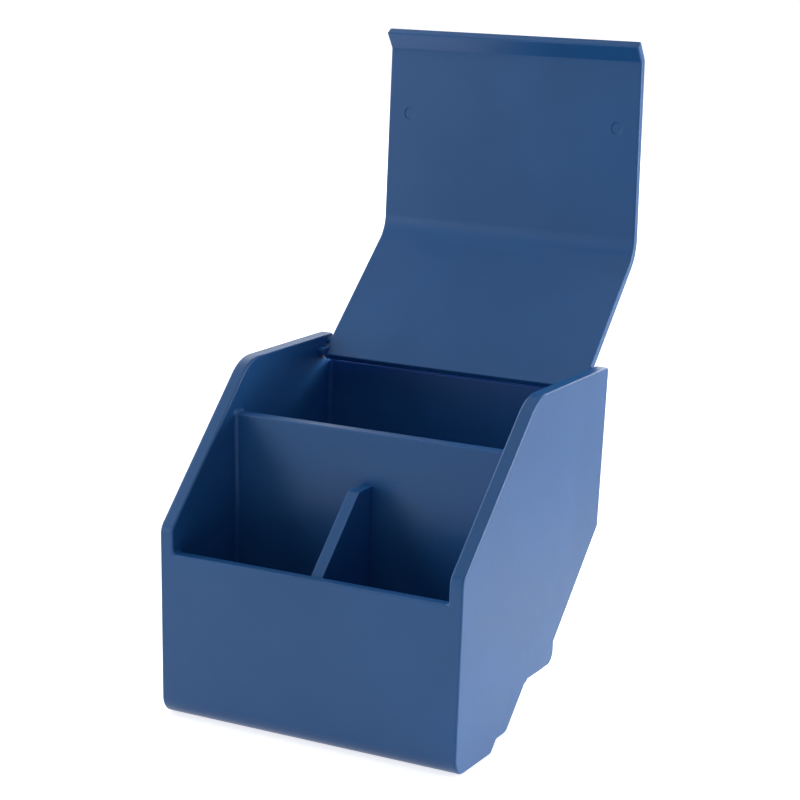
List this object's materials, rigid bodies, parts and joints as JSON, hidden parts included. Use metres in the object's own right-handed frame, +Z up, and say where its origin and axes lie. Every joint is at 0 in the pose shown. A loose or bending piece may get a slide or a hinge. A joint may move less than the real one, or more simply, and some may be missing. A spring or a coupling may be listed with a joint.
{
  "type": "desk organizer",
  "caption": "Small moulded desk organizer module with slanted front, divided open compartments, a stepped underside and a bent lid that flips back on a rear hinge.",
  "frame": {"origin": "centre of the flat foot's underside, midway between the side walls", "axes": "+Z up with the lid's hinge level, -Y out of the low front wall, +X along the hinge, to the right of someone who faces the front"},
  "size_m": [0.0812, 0.1028, 0.1586],
  "materials": {
    "body_plastic": "satin-gloss moulded navy blue plastic",
    "lid_plastic": "satin-gloss moulded navy blue plastic"
  },
  "bodies": {
    "body": {"body": "body_plastic"},
    "lid": {"lid": "lid_plastic"}
  },
  "joints": [
    {"name": "lid_hinge", "type": "hinge", "parent": "body", "child": "lid", "pos_m": [0, 0.06158, 0.0796], "axis": [1, 0, 0], "range_deg": [0, 136.2]}
  ]
}
